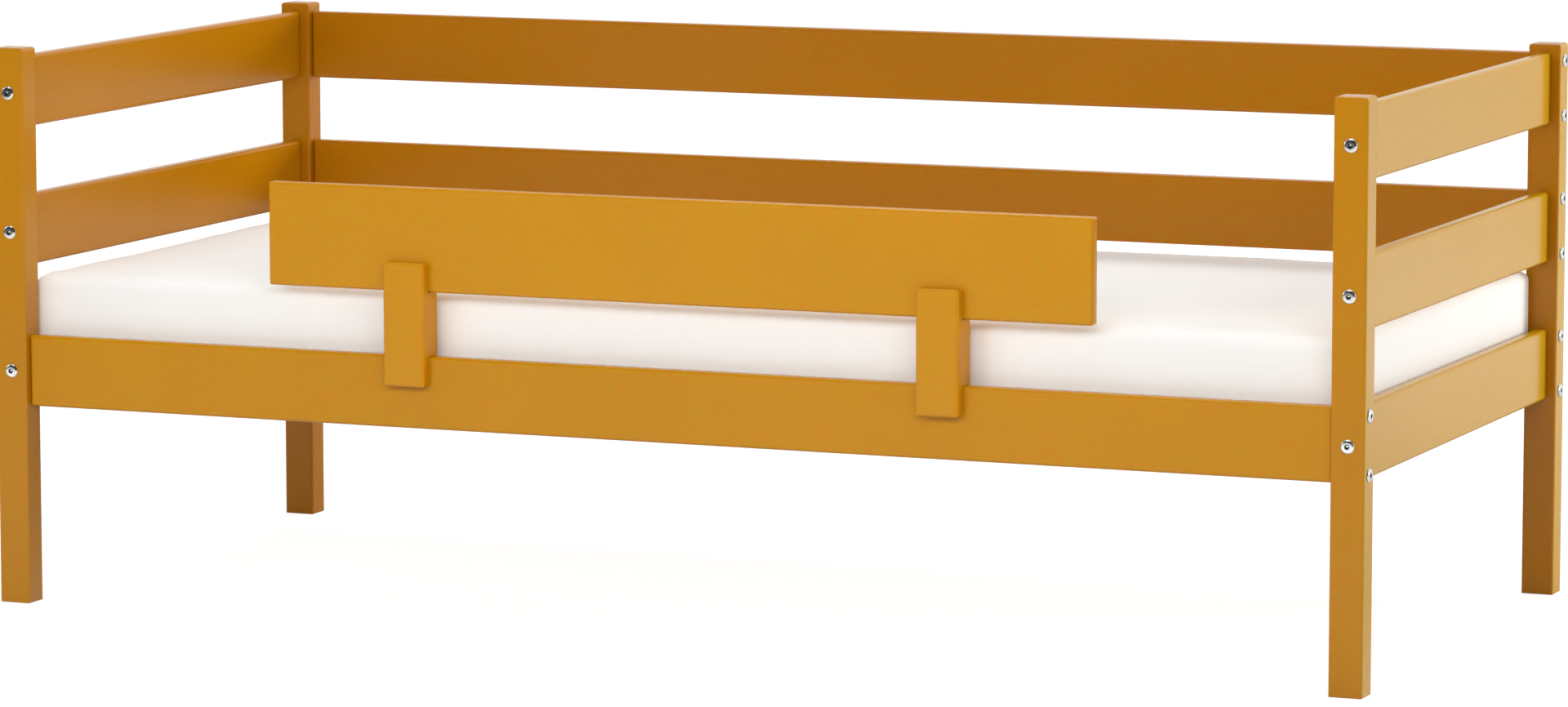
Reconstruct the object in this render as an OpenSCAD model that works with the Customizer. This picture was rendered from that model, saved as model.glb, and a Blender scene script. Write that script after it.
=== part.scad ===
// Junior bed with a lift-out guard board.
// X runs along the bed, from the left end to the right end.  Y runs across it, from the open
// front side (-Y) to the boarded rear side (+Y).  Z is up, and the floor is Z = 0.

/* [Mattress] */
// Length of the mattress, along the bed
mattress_length = 1600; // [1300:10:2000]
// Width of the mattress, across the bed
mattress_width = 700; // [560:10:900]
// Thickness of the mattress
mattress_thickness = 120; // [90:1:150]
// Radius of the mattress's soft edges, round its top and its bottom
mattress_edge_r = 15; // [8:1:40]
// Radius of the mattress's upright corners
mattress_corner_r = 8; // [3:1:30]
// Space between the mattress and the boards at each end
mattress_end_gap = 12.5; // [5:0.5:30]
// Space between the mattress and the boards along each side
mattress_side_gap = 15; // [10:0.5:30]

/* [Posts] */
// Size of a post along the bed
post_x = 39; // [34:1:60]
// Size of a post across the bed
post_y = 34; // [30:1:60]
// Height of the posts above the top boards
post_rise = 11; // [6:1:60]
// Radius of the posts' upright edges
post_edge_r = 3; // [1:0.5:6]
// Radius round the top of a post
post_top_r = 5; // [2:0.5:8]
// Radius round the foot of a post
post_foot_r = 1.5; // [0.5:0.5:4]

/* [Boards] */
// Height of every frame board, on edge
board_height = 84; // [70:1:100]
// Thickness of every frame board
board_thickness = 16; // [14:0.5:22]
// Radius of the boards' edges
board_edge_r = 4; // [1:0.5:6]
// Height of the lowest boards' lower edge above the floor
rail_clearance = 234; // [150:1:260]
// Clear space between one board and the next one above it
board_gap = 79.5; // [60:0.5:80]

/* [Guard] */
// Length of the guard board
guard_length = 1010; // [840:10:1200]
// Height of the guard board, on edge
guard_height = 120; // [80:1:160]
// Thickness of the guard board
guard_thickness = 16; // [14:0.5:22]
// Place of the guard's middle, to the right of the bed's middle
guard_offset = 19; // [-40:1:40]
// Space between the front rail's top edge and the guard board's lower edge
guard_lift = 74; // [50:1:90]
// Distance between the middles of the two slotted blocks
block_spacing = 654; // [400:1:700]
// Width of a slotted block, along the bed
block_width = 51; // [40:1:70]
// Depth of each slot, which is how far a block's legs reach past a board's edge
block_slot_depth = 35; // [20:1:45]
// Thickness of a block's outer leg, in front of the boards
block_front_leg = 14; // [8:0.5:20]
// Thickness of a block's inner leg, behind the boards
block_rear_leg = 9; // [6:0.5:12]
// Radius of the blocks' edges
block_edge_r = 4; // [1:0.5:5]

/* [Slat base] */
// Number of slats
slat_count = 13; // [9:1:15]
// Width of a slat, along the bed
slat_width = 65; // [50:1:80]
// Thickness of a slat
slat_thickness = 12; // [10:0.5:18]
// Radius of the slats' edges
slat_edge_r = 2; // [0.5:0.5:4]
// Distance from the mattress's end to the middle of the first slat
slat_end_margin = 50; // [45:1:80]
// Thickness of a ledge, which is how far it stands out from its rail
ledge_thickness = 20; // [15:1:30]
// Height of a ledge
ledge_height = 20; // [15:1:30]
// Height of a ledge's lower edge above its rail's lower edge
ledge_rise = 3; // [0:1:10]
// Radius of the ledges' edges
ledge_edge_r = 1.5; // [0.5:0.5:3]
// Width of a webbing ribbon
ribbon_width = 25; // [15:1:40]
// Thickness of a webbing ribbon
ribbon_thickness = 1; // [1:0.5:2]
// Distance of each ribbon's middle from the bed's centre line
ribbon_offset = 240; // [150:10:250]

/* [Fasteners] */
// Diameter of a frame bolt's shank
bolt_d = 6; // [5:0.5:8]
// Diameter of a frame bolt's head
bolt_head_d = 16; // [13:0.5:18]
// Height of a frame bolt's head above the post
bolt_head_height = 2.2; // [1.5:0.1:4]
// Diameter of the flat on top of a frame bolt's head
bolt_face_d = 12.5; // [9:0.5:14]
// Height of the straight rim below the head's bevel
bolt_rim_height = 0.6; // [0.3:0.1:1]
// Width across the flats of a frame bolt's hexagon socket
bolt_socket = 4; // [3:0.5:5]
// Length of a frame bolt's shank inside a board
bolt_reach = 24; // [16:1:32]
// Distance between the two bolts in each end of a long board
bolt_pitch = 65; // [50:1:68]
// Outer diameter of the threaded insert in a board's end
insert_d = 9; // [8:0.5:11]
// Length of a threaded insert
insert_length = 18; // [12:1:24]
// Diameter of the wooden dowels that keep an end board from turning
dowel_d = 8; // [6:1:8]
// Length of a dowel
dowel_length = 30; // [24:1:36]
// Length of a dowel inside the post
dowel_in_post = 11; // [6:1:11]
// Distance between the two dowels in each end of an end board
dowel_pitch = 50; // [40:1:56]
// Diameter of a wood screw's shank
screw_d = 3.5; // [3:0.5:5]
// Diameter of a wood screw's countersunk head
screw_head_d = 7; // [6:0.5:9]
// Length of a wood screw
screw_length = 30; // [25:1:32]
// Number of screws that hold each ledge to its rail
ledge_screw_count = 6; // [3:1:10]

/* [Clearances] */
// Space round a bolt's shank in a post
bolt_clearance = 0.3; // [0.1:0.1:0.6]
// Space round an insert, a dowel, a screw or a thread in its hole
fit_clearance = 0.05; // [0.02:0.01:0.1]
// Space past the tip of a bolt or a dowel, at the bottom of its hole
tip_clearance = 1.5; // [0.5:0.5:4]
// Space on each side of a board in a block's slot
slot_clearance = 0.5; // [0.3:0.1:1]
// Space between a block's slot and the board edge that it stands on or carries
seat_clearance = 0.3; // [0.3:0.1:1]
// Space between the mattress and the ribbons that it lies on
mattress_clearance = 0.3; // [0.3:0.1:1]
// Space between a slat's end and the rail
slat_clearance = 4; // [2:0.5:8]
// Space between a ledge's end and the post
ledge_clearance = 2; // [1:0.5:5]

/* [Hidden] */
$fn = 48;
cut = 1;   // how far a cutting tool runs past the surface that it enters
paint = "#c68c24";
bare_wood = "#dfc08c";
zinc = "#d8dbde";
fabric = "#f6f2ec";
webbing = "#ece7db";

LEFT = -1;
RIGHT = 1;
FRONT = -1;
REAR = 1;

// The boards are centred on the posts, so the posts' middles follow from the space inside.
inner_length = mattress_length + 2 * mattress_end_gap;
inner_width = mattress_width + 2 * mattress_side_gap;
post_cx = (inner_length + board_thickness) / 2;
post_cy = (inner_width + board_thickness) / 2;
long_length = 2 * post_cx - post_x;
end_length = 2 * post_cy - post_y;

// Lower edges of the boards at the three levels.  The open front side has a long board at
// the lowest level only.
levels = [0, 1, 2];
front_long_levels = [0];
level_z = [for (i = levels) rail_clearance + i * (board_height + board_gap)];
post_height = level_z[2] + board_height + post_rise;
rail_top = rail_clearance + board_height;
bolt_rows = [-bolt_pitch / 2, bolt_pitch / 2];
dowel_rows = [-dowel_pitch / 2, dowel_pitch / 2];
socket_depth = bolt_head_height - bolt_rim_height / 2;

// The ledges stand inside the rails, and the slats, the ribbons and the mattress lie on them.
ledge_z = rail_clearance + ledge_rise;
ledge_length = long_length - 2 * ledge_clearance;
ledge_cy = (inner_width - ledge_thickness) / 2;
slat_z = ledge_z + ledge_height;
slat_length = inner_width - 2 * slat_clearance;
slat_pitch = (mattress_length - 2 * slat_end_margin) / (slat_count - 1);
end_slats = [0, slat_count - 1];
ledge_screw_span = mattress_length - 2 * slat_end_margin - slat_pitch;
ribbon_z = slat_z + slat_thickness;
ribbon_length = mattress_length - 2 * slat_end_margin + slat_width;
mattress_z = ribbon_z + ribbon_thickness + mattress_clearance;

// The blocks straddle the front rail, and the guard board stands in line above it.
guard_z = rail_top + guard_lift;
rail_slot = board_thickness + 2 * slot_clearance;
guard_slot = guard_thickness + 2 * slot_clearance;
block_z = rail_top + seat_clearance - block_slot_depth;
block_height = guard_lift - 2 * seat_clearance + 2 * block_slot_depth;
block_thickness = block_front_leg + rail_slot + block_rear_leg;
block_cy = -post_cy + (block_rear_leg - block_front_leg) / 2;

function slat_x(i) = -mattress_length / 2 + slat_end_margin + i * slat_pitch;
function slat_name(i) = str("slat_", i < 9 ? "0" : "", i + 1);
slats = [for (i = [0:slat_count - 1]) i];

// ---- Shapes that repeat ----

// A rectangle with round corners, centred
module rounded_rect(width, height, r) {
    square([width - 2 * r, height], center = true);
    square([width, height - 2 * r], center = true);
    for (x = [-1, 1], y = [-1, 1])
        translate([x * (width / 2 - r), y * (height / 2 - r)]) circle(r);
}

// A board with every edge rounded, centred on X and Y, with its lower edge at Z = 0.  Its
// upright edges have the radius corner_r, where that is given, and the others the radius r.
module rounded_board(length, thickness, height, r, corner_r) {
    intersection() {
        translate([0, 0, height / 2]) rotate([90, 0, 0])
            linear_extrude(thickness, center = true) rounded_rect(length, height, r);
        translate([0, 0, height / 2]) rotate([90, 0, 90])
            linear_extrude(length, center = true) rounded_rect(thickness, height, r);
        linear_extrude(height) rounded_rect(length, thickness, is_undef(corner_r) ? r : corner_r);
    }
}

// Turns +Z to point inwards along X from one end of the bed
module inwards_x(end) {
    rotate([0, -90 * end, 0]) children();
}

// Turns +Z to point inwards along Y from one side of the bed
module inwards_y(side) {
    rotate([90 * side, 0, 0]) children();
}

// A cylinder from Z = 0 with a 45 degree bevel at both ends
module bevelled_rod(d, length, bevel) {
    rotate_extrude() polygon([
        [0, 0], [d / 2 - bevel, 0], [d / 2, bevel],
        [d / 2, length - bevel], [d / 2 - bevel, length], [0, length]
    ]);
}

// ---- Posts ----

// The side view of a post: round at the top, and a little round at the foot
module post_view(width) {
    translate([0, post_foot_r + (post_height - post_foot_r - post_top_r) / 2])
        square([width, post_height - post_foot_r - post_top_r], center = true);
    translate([0, post_height / 2]) square([width - 2 * post_top_r, post_height], center = true);
    translate([0, post_height / 4]) square([width - 2 * post_foot_r, post_height / 2], center = true);
    for (x = [-1, 1]) {
        translate([x * (width / 2 - post_top_r), post_height - post_top_r]) circle(post_top_r);
        translate([x * (width / 2 - post_foot_r), post_foot_r]) circle(post_foot_r);
    }
}

module post_blank() {
    intersection() {
        linear_extrude(post_height) rounded_rect(post_x, post_y, post_edge_r);
        rotate([90, 0, 0]) linear_extrude(post_y, center = true) post_view(post_x);
        rotate([90, 0, 90]) linear_extrude(post_x, center = true) post_view(post_y);
    }
}

// A post at one corner.  Every level has an end board, with one bolt through the post and two
// dowels.  long_levels are the levels that have a long board too, with two bolts each.
module post(end, side, long_levels) {
    color(paint) translate([end * post_cx, side * post_cy, 0]) difference() {
        post_blank();
        for (i = levels) translate([0, 0, level_z[i] + board_height / 2]) {
            translate([0, side * (post_y / 2 + cut), 0]) inwards_y(side)
                cylinder(d = bolt_d + 2 * bolt_clearance, h = post_y + 2 * cut);
            for (z = dowel_rows)
                translate([0, -side * (post_y / 2 - dowel_in_post - tip_clearance), z]) inwards_y(side)
                    cylinder(d = dowel_d + 2 * fit_clearance, h = dowel_in_post + tip_clearance + cut);
        }
        for (i = long_levels, z = bolt_rows)
            translate([end * (post_x / 2 + cut), 0, level_z[i] + board_height / 2 + z]) inwards_x(end)
                cylinder(d = bolt_d + 2 * bolt_clearance, h = post_x + 2 * cut);
    }
}

// ---- Frame boards ----

// The hole in a board's end for a threaded insert and the bolt's tip behind it, from Z = 0 down
module insert_hole() {
    translate([0, 0, -cut]) cylinder(d = insert_d + 2 * fit_clearance, h = insert_length + cut);
    cylinder(d = bolt_d + 2 * bolt_clearance, h = bolt_reach + tip_clearance);
}

// A long board along X at one level, between two posts
module long_board(side, level) {
    color(paint) translate([0, side * post_cy, level_z[level]]) difference() {
        rounded_board(long_length, board_thickness, board_height, board_edge_r);
        for (end = [LEFT, RIGHT], z = bolt_rows)
            translate([end * long_length / 2, 0, board_height / 2 + z]) inwards_x(end) insert_hole();
        if (level == 0) ledge_screw_places(side) screw_pilot();
    }
}

// An end board along Y at one level, between two posts
module end_board(end, level) {
    dowel_in_board = dowel_length - dowel_in_post;
    color(paint) translate([end * post_cx, 0, level_z[level]]) difference() {
        rotate([0, 0, 90]) rounded_board(end_length, board_thickness, board_height, board_edge_r);
        for (side = [FRONT, REAR]) translate([0, side * end_length / 2, board_height / 2]) {
            inwards_y(side) insert_hole();
            for (z = dowel_rows) translate([0, side * cut, z]) inwards_y(side)
                cylinder(d = dowel_d + 2 * fit_clearance, h = dowel_in_board + tip_clearance + cut);
        }
    }
}

// ---- Slat base ----

// A wood screw with a countersunk head at Z = 0 and its point at Z = screw_length
module wood_screw() {
    head_height = (screw_head_d - screw_d) / 2;
    rotate_extrude() polygon([
        [0, 0], [screw_head_d / 2, 0], [screw_d / 2, head_height],
        [screw_d / 2, screw_length - screw_d], [0, screw_length]
    ]);
}

// The hole for a wood screw in the piece that it holds
module screw_hole() {
    head_height = (screw_head_d - screw_d) / 2;
    rotate_extrude() polygon([
        [0, -cut], [screw_head_d / 2 + fit_clearance, -cut], [screw_head_d / 2 + fit_clearance, 0],
        [screw_d / 2 + fit_clearance, head_height + fit_clearance],
        [screw_d / 2 + fit_clearance, screw_length + cut], [0, screw_length + cut]
    ]);
}

// The straight hole for a wood screw in the piece that it goes into
module screw_pilot() {
    translate([0, 0, -cut])
        cylinder(d = screw_d + 2 * fit_clearance, h = screw_length + 2 * cut);
}

// The places of the screws through one ledge, seen from its rail's lower edge and middle.
// Each screw starts on the ledge's inner face and points at the rail.  The first and the last
// stand between two slats, clear of the screws in the end slats.
module ledge_screw_places(side) {
    for (i = [0:ledge_screw_count - 1])
        translate([
            (i / (ledge_screw_count - 1) - 0.5) * ledge_screw_span,
            -side * (board_thickness / 2 + ledge_thickness),
            ledge_rise + ledge_height / 2
        ]) inwards_y(-side) children();
}

// The places of the two screws that hold an end slat, seen from the slat's upper face
module slat_screw_places() {
    for (side = [FRONT, REAR])
        translate([0, side * ledge_cy, 0]) rotate([180, 0, 0]) children();
}

module ledge(side) {
    color(bare_wood) difference() {
        translate([0, side * ledge_cy, ledge_z])
            rounded_board(ledge_length, ledge_thickness, ledge_height, ledge_edge_r);
        translate([0, side * post_cy, rail_clearance]) ledge_screw_places(side) screw_hole();
        for (i = end_slats) translate([slat_x(i), 0, ribbon_z]) slat_screw_places() screw_pilot();
    }
}

module slat(i) {
    color(bare_wood) translate([slat_x(i), 0, slat_z]) difference() {
        rounded_board(slat_width, slat_length, slat_thickness, slat_edge_r);
        if (i == end_slats[0] || i == end_slats[1])
            translate([0, 0, slat_thickness]) slat_screw_places() screw_hole();
    }
}

module ribbon(side) {
    color(webbing) translate([-ribbon_length / 2, side * ribbon_offset - ribbon_width / 2, ribbon_z])
        cube([ribbon_length, ribbon_width, ribbon_thickness]);
}

module ledge_screws() {
    color(zinc) for (side = [FRONT, REAR])
        translate([0, side * post_cy, rail_clearance]) ledge_screw_places(side) wood_screw();
}

module slat_screws() {
    color(zinc) for (i = end_slats)
        translate([slat_x(i), 0, ribbon_z]) slat_screw_places() wood_screw();
}

// ---- Mattress ----

module mattress() {
    color(fabric) translate([0, 0, mattress_z]) rounded_board(
        mattress_length, mattress_width, mattress_thickness, mattress_edge_r, mattress_corner_r
    );
}

// ---- Guard ----

module guard_board() {
    color(paint) translate([guard_offset, -post_cy, guard_z])
        rounded_board(guard_length, guard_thickness, guard_height, board_edge_r);
}

// A block with a slot in its foot for the front rail and a slot in its top for the guard board
module guard_block(end) {
    color(paint) translate([guard_offset + end * block_spacing / 2, 0, block_z]) difference() {
        translate([0, block_cy, 0])
            rounded_board(block_width, block_thickness, block_height, block_edge_r);
        translate([-block_width / 2 - cut, -post_cy - rail_slot / 2, -cut])
            cube([block_width + 2 * cut, rail_slot, block_slot_depth + cut]);
        translate([-block_width / 2 - cut, -post_cy - guard_slot / 2, block_height - block_slot_depth])
            cube([block_width + 2 * cut, guard_slot, block_slot_depth + cut]);
    }
}

// ---- Bolted joints ----

// A flat-headed bolt: its head's seat is at Z = 0, and its tip at Z = length
module frame_bolt(length) {
    tip_bevel = bolt_d / 8;
    difference() {
        rotate_extrude() polygon([
            [0, -bolt_head_height], [bolt_face_d / 2, -bolt_head_height],
            [bolt_head_d / 2, -bolt_rim_height], [bolt_head_d / 2, 0], [bolt_d / 2, 0],
            [bolt_d / 2, length - tip_bevel], [bolt_d / 2 - tip_bevel, length], [0, length]
        ]);
        translate([0, 0, -bolt_head_height - cut])
            cylinder(d = bolt_socket / cos(30), h = socket_depth + cut, $fn = 6);
    }
}

module threaded_insert() {
    difference() {
        cylinder(d = insert_d, h = insert_length);
        translate([0, 0, -cut]) cylinder(d = bolt_d + 2 * fit_clearance, h = insert_length + 2 * cut);
    }
}

// The places of the bolts through the posts into the end boards, on the posts' outer faces
module end_bolt_places() {
    for (end = [LEFT, RIGHT], side = [FRONT, REAR], i = levels)
        translate([end * post_cx, side * (post_cy + post_y / 2), level_z[i] + board_height / 2])
            inwards_y(side) children();
}

// The places of the bolts through the posts into the long boards, on the posts' outer faces
module long_bolt_places() {
    for (end = [LEFT, RIGHT], z = bolt_rows) {
        for (i = front_long_levels) long_bolt_place(end, FRONT, level_z[i] + z) children();
        for (i = levels) long_bolt_place(end, REAR, level_z[i] + z) children();
    }
}

module long_bolt_place(end, side, z) {
    translate([end * (post_cx + post_x / 2), side * post_cy, z + board_height / 2])
        inwards_x(end) children();
}

module end_board_bolts() {
    color(zinc) end_bolt_places() frame_bolt(post_y + bolt_reach);
}

module long_board_bolts() {
    color(zinc) long_bolt_places() frame_bolt(post_x + bolt_reach);
}

module end_board_inserts() {
    color(zinc) end_bolt_places() translate([0, 0, post_y]) threaded_insert();
}

module long_board_inserts() {
    color(zinc) long_bolt_places() translate([0, 0, post_x]) threaded_insert();
}

module end_board_dowels() {
    color(bare_wood) end_bolt_places() for (y = dowel_rows)
        translate([0, y, post_y - dowel_in_post]) bevelled_rod(dowel_d, dowel_length, dowel_d / 8);
}

// ---- Assembly ----

post(LEFT, FRONT, front_long_levels);  // post_front_left
post(RIGHT, FRONT, front_long_levels);  // post_front_right
post(LEFT, REAR, levels);  // post_rear_left
post(RIGHT, REAR, levels);  // post_rear_right
long_board(FRONT, 0);  // rail_front
long_board(REAR, 0);  // rail_rear
long_board(REAR, 1);  // back_board_middle
long_board(REAR, 2);  // back_board_upper
end_board(LEFT, 0);  // left_end_lower
end_board(LEFT, 1);  // left_end_middle
end_board(LEFT, 2);  // left_end_upper
end_board(RIGHT, 0);  // right_end_lower
end_board(RIGHT, 1);  // right_end_middle
end_board(RIGHT, 2);  // right_end_upper
ledge(FRONT);  // ledge_front
ledge(REAR);  // ledge_rear
for (i = slats) slat(i);
ribbon(FRONT);  // ribbon_front
ribbon(REAR);  // ribbon_rear
mattress();
guard_board();
guard_block(LEFT);  // guard_block_left
guard_block(RIGHT);  // guard_block_right
end_board_bolts();
long_board_bolts();
end_board_inserts();
long_board_inserts();
end_board_dowels();
ledge_screws();
slat_screws();
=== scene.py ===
import math

import bpy
import numpy as np
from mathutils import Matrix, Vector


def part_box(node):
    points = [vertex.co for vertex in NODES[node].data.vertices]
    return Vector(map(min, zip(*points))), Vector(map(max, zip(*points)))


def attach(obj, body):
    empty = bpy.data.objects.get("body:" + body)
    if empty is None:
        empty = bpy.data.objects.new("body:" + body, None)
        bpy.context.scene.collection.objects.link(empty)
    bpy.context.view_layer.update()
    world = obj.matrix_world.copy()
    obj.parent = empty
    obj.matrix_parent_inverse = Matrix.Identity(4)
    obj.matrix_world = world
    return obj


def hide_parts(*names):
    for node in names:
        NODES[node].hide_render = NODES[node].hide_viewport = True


# Finishes, mattress, small fasteners, light and camera for a painted junior bed.
# The frame's axes hold throughout: X along the bed, Y towards the boarded rear side, Z up, metres.

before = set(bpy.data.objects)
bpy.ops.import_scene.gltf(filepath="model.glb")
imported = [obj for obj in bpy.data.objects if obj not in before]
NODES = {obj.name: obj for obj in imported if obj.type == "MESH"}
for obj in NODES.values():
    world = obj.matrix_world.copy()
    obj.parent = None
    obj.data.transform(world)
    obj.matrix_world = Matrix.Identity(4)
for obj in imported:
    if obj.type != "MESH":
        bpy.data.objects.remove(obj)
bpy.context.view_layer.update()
SCENE = bpy.context.scene


# ---------------------------------------------------------------------------------------------
# Building shaders
# ---------------------------------------------------------------------------------------------

def srgb(red, green, blue):
    """A colour written as 0 to 255 display values, as linear RGBA."""
    parts = [v / 255 for v in (red, green, blue)]
    linear = [v / 12.92 if v <= 0.04045 else ((v + 0.055) / 1.055) ** 2.4 for v in parts]
    return tuple(linear) + (1.0,)


def add(tree, kind, inputs=None, **settings):
    """A new node. settings are its properties. inputs are its sockets by name or number, and a
    value that is another node's socket is linked."""
    node = tree.nodes.new("ShaderNode" + kind)
    for name, value in settings.items():
        setattr(node, name, value)
    for name, value in (inputs or {}).items():
        if isinstance(value, bpy.types.NodeSocket):
            tree.links.new(value, node.inputs[name])
        else:
            node.inputs[name].default_value = value
    return node


def maths(tree, operation, *values):
    """The output of a Math node on up to three numbers or sockets."""
    return add(tree, "Math", dict(enumerate(values)), operation=operation).outputs[0]


def vector_maths(tree, operation, *values):
    """The output of a Vector Math node on vectors or sockets."""
    return add(tree, "VectorMath", dict(enumerate(values)), operation=operation).outputs[0]


def split_vector(tree, vector):
    """The X, Y and Z of a vector, as three sockets."""
    return add(tree, "SeparateXYZ", {0: vector}).outputs


def remap(tree, value, low, high, to_low=0.0, to_high=1.0):
    """value, which runs from low to high, carried over smoothly to to_low and to_high."""
    inputs = {"Value": value, "From Min": low, "From Max": high,
              "To Min": to_low, "To Max": to_high}
    return add(tree, "MapRange", inputs, interpolation_type="SMOOTHSTEP").outputs["Result"]


def blend_colours(tree, share, first, second, kind="MIX"):
    """first and second mixed: share is 0 for the first and 1 for the second."""
    inputs = {0: share, 6: first, 7: second}
    return add(tree, "Mix", inputs, data_type="RGBA", blend_type=kind).outputs[2]


def blend_numbers(tree, share, first, second):
    """Two numbers mixed in the same way."""
    return add(tree, "Mix", {0: share, 2: first, 3: second}, data_type="FLOAT").outputs[0]


def noise(tree, vector, size, detail=2.0, roughness=0.5, distortion=0.0):
    """Smooth noise, 0 to 1, whose spots are about size metres across."""
    inputs = {"Vector": vector, "Scale": 1 / size, "Detail": detail, "Roughness": roughness,
              "Distortion": distortion}
    return add(tree, "TexNoise", inputs).outputs["Fac"]


def new_group(name, inputs, outputs):
    """A node group with these sockets. inputs maps a name to its default, which sets the kind of
    socket: a number, a vector of three or a colour of four. outputs maps a name to FLOAT or
    COLOR."""
    tree = bpy.data.node_groups.new(name, "ShaderNodeTree")
    kinds = {1: "NodeSocketFloat", 3: "NodeSocketVector", 4: "NodeSocketColor"}
    for socket_name, value in inputs.items():
        size = len(value) if isinstance(value, tuple) else 1
        socket = tree.interface.new_socket(name=socket_name, in_out="INPUT",
                                           socket_type=kinds[size])
        socket.default_value = value
    for socket_name, kind in outputs.items():
        socket_type = "NodeSocketColor" if kind == "COLOR" else "NodeSocketFloat"
        tree.interface.new_socket(name=socket_name, in_out="OUTPUT", socket_type=socket_type)
    return tree, tree.nodes.new("NodeGroupInput").outputs, tree.nodes.new("NodeGroupOutput").inputs


def place_group(tree, group, inputs):
    """A node group placed in a material with its own values. Returns its output sockets."""
    node = tree.nodes.new("ShaderNodeGroup")
    node.node_tree = group
    for name, value in inputs.items():
        if isinstance(value, bpy.types.NodeSocket):
            tree.links.new(value, node.inputs[name])
        else:
            node.inputs[name].default_value = value
    return node.outputs


def new_material(name):
    """An empty material with its Principled BSDF. Returns the material, its tree and the shader."""
    material = bpy.data.materials.new(name)
    material.use_nodes = True
    tree = material.node_tree
    tree.nodes.clear()
    shader = tree.nodes.new("ShaderNodeBsdfPrincipled")
    output = tree.nodes.new("ShaderNodeOutputMaterial")
    tree.links.new(shader.outputs["BSDF"], output.inputs["Surface"])
    return material, tree, shader


def feed(tree, shader, **sockets):
    """Links sockets to the shader's inputs, whose names are written with _ for a space."""
    for name, socket in sockets.items():
        tree.links.new(socket, shader.inputs[name.replace("_", " ")])


def relief(tree, height, distance):
    """A normal from a height of 0 to 1 that stands for distance metres."""
    inputs = {"Height": height, "Distance": distance, "Strength": 1.0}
    return add(tree, "Bump", inputs).outputs["Normal"]


def object_place(tree):
    """A point's place on its object, in metres."""
    return add(tree, "TexCoord").outputs["Object"]


def place_along(tree, offset, turn):
    """A point's place, turned and then moved, so that a pattern runs along its piece."""
    inputs = {"Vector": object_place(tree), "Location": offset, "Rotation": turn}
    return add(tree, "Mapping", inputs).outputs["Vector"]


# ---------------------------------------------------------------------------------------------
# Effects that several finishes share
# ---------------------------------------------------------------------------------------------

GRAIN_STRETCH = 0.12
FIBRE_STRETCH = 0.02
FIBRE_SIZE = 0.0011
WOOD_TONE_SIZE = 0.09


def make_grain_group():
    """Wood grain that runs along X. Rings are circles round a far heart line, bent by noise that is
    stretched along the grain, and fibres are fine noise stretched much further."""
    inputs = {"Vector": (0.0, 0.0, 0.0), "Ring Width": 0.004, "Wander": 0.02}
    outputs = {"Rings": "FLOAT", "Fibres": "FLOAT", "Tone": "FLOAT"}
    tree, given, out = new_group("wood grain", inputs, outputs)
    slow = vector_maths(tree, "MULTIPLY", given["Vector"], (GRAIN_STRETCH, 1.0, 1.0))
    bend = add(tree, "TexNoise", {"Vector": slow, "Scale": 14.0, "Detail": 2.0}).outputs["Color"]
    centred = vector_maths(tree, "SUBTRACT", bend, (0.5, 0.5, 0.5))
    wander = add(tree, "VectorMath", {0: centred, 3: given["Wander"]}, operation="SCALE").outputs[0]
    bent = vector_maths(tree, "ADD", slow, wander)
    flat = vector_maths(tree, "MULTIPLY", bent, (0.0, 1.0, 1.0))
    radius = add(tree, "VectorMath", {0: flat}, operation="LENGTH").outputs["Value"]
    turns = maths(tree, "DIVIDE", radius, given["Ring Width"])
    phase = maths(tree, "FRACT", turns)
    late = remap(tree, phase, 0.35, 0.92)
    fall = remap(tree, phase, 0.93, 1.0, 1.0, 0.0)
    rings = maths(tree, "MULTIPLY", late, fall)
    fine = vector_maths(tree, "MULTIPLY", given["Vector"], (FIBRE_STRETCH, 1.0, 1.0))
    tree.links.new(rings, out["Rings"])
    tree.links.new(noise(tree, fine, FIBRE_SIZE, 3.0, 0.6), out["Fibres"])
    tree.links.new(noise(tree, slow, WOOD_TONE_SIZE), out["Tone"])
    return tree


def make_edge_group():
    """How near a point on a box-shaped piece is to the box's edges, from 0 to 1. The distances to
    the three pairs of faces are sorted: on a face the smallest is 0, and the next one is the
    distance to the nearest edge. It is uneven, because a hand or a brush never follows an edge."""
    inputs = {"Vector": (0.0, 0.0, 0.0), "Centre": (0.0, 0.0, 0.0), "Half Size": (1.0, 1.0, 1.0),
              "Width": 0.004}
    tree, given, out = new_group("edge nearness", inputs, {"Edge": "FLOAT"})
    from_centre = vector_maths(tree, "SUBTRACT", given["Vector"], given["Centre"])
    depth = vector_maths(tree, "SUBTRACT", given["Half Size"],
                         vector_maths(tree, "ABSOLUTE", from_centre))
    parts = split_vector(tree, depth)
    lowest = maths(tree, "MINIMUM", maths(tree, "MINIMUM", parts[0], parts[1]), parts[2])
    highest = maths(tree, "MAXIMUM", maths(tree, "MAXIMUM", parts[0], parts[1]), parts[2])
    total = maths(tree, "ADD", maths(tree, "ADD", parts[0], parts[1]), parts[2])
    middle = maths(tree, "SUBTRACT", maths(tree, "SUBTRACT", total, lowest), highest)
    uneven = maths(tree, "MULTIPLY_ADD", noise(tree, given["Vector"], 0.02, 3.0), 0.9, 0.55)
    share = maths(tree, "DIVIDE", middle, maths(tree, "MULTIPLY", given["Width"], uneven))
    tree.links.new(remap(tree, share, 0.0, 1.0, 1.0, 0.0), out["Edge"])
    return tree


SMALL_SPOT = 0.007
LARGE_SPOT = 0.16
PEEL_SIZE = 0.0028


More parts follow.
